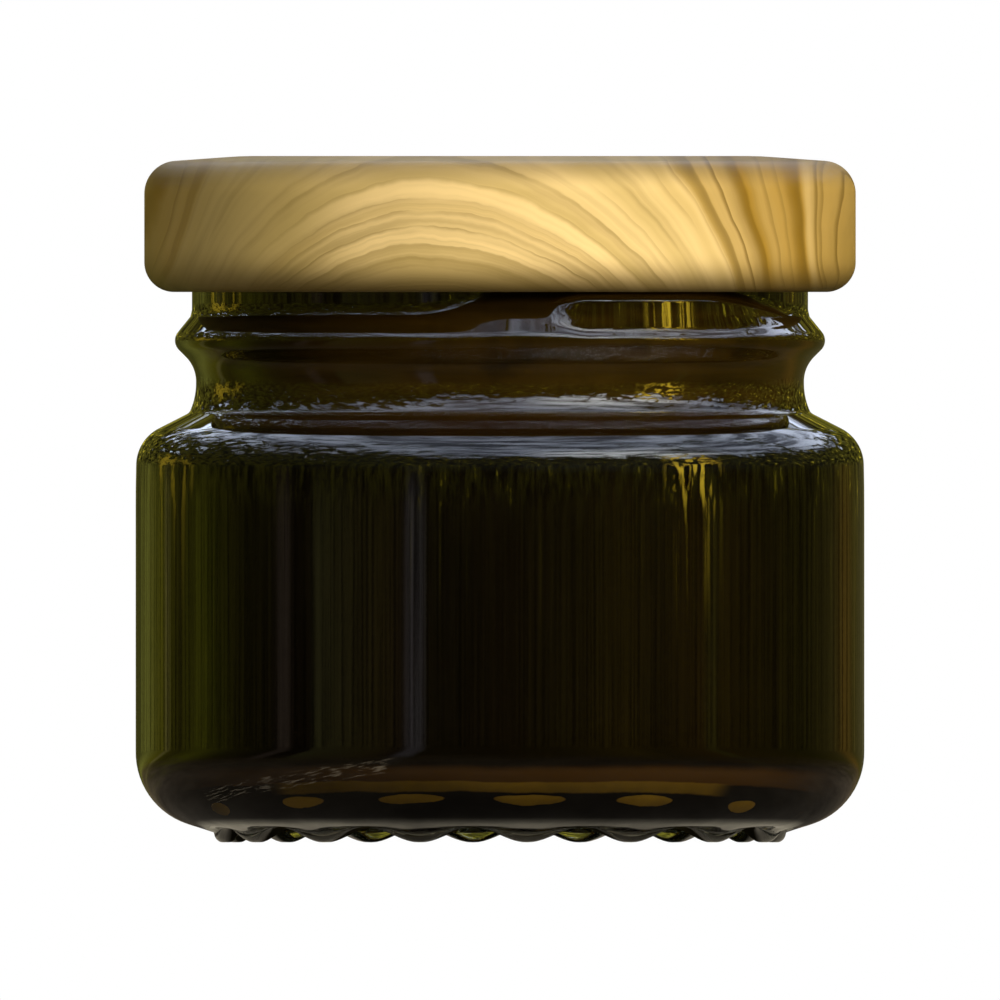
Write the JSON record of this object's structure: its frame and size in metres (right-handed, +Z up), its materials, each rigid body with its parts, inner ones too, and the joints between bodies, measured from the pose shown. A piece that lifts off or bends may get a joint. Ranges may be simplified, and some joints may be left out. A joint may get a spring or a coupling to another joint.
{
  "type": "glass jar",
  "caption": "Small round glass jar of dark syrupy spread, with a scalloped foot, a beaded neck and a wood-look twist-off lid.",
  "frame": {"origin": "middle of the foot, on the surface that the jar stands on", "axes": "+Z up along the jar's axis, through the lid; the front is -Y"},
  "size_m": [0.0466, 0.0466, 0.0439],
  "materials": {
    "glass": "clear polished",
    "spread": "glossy dark syrup",
    "wood": "satin wood grain"
  },
  "bodies": {
    "root": {"jar": "glass", "contents": "spread", "lid": "wood"}
  },
  "joints": []
}
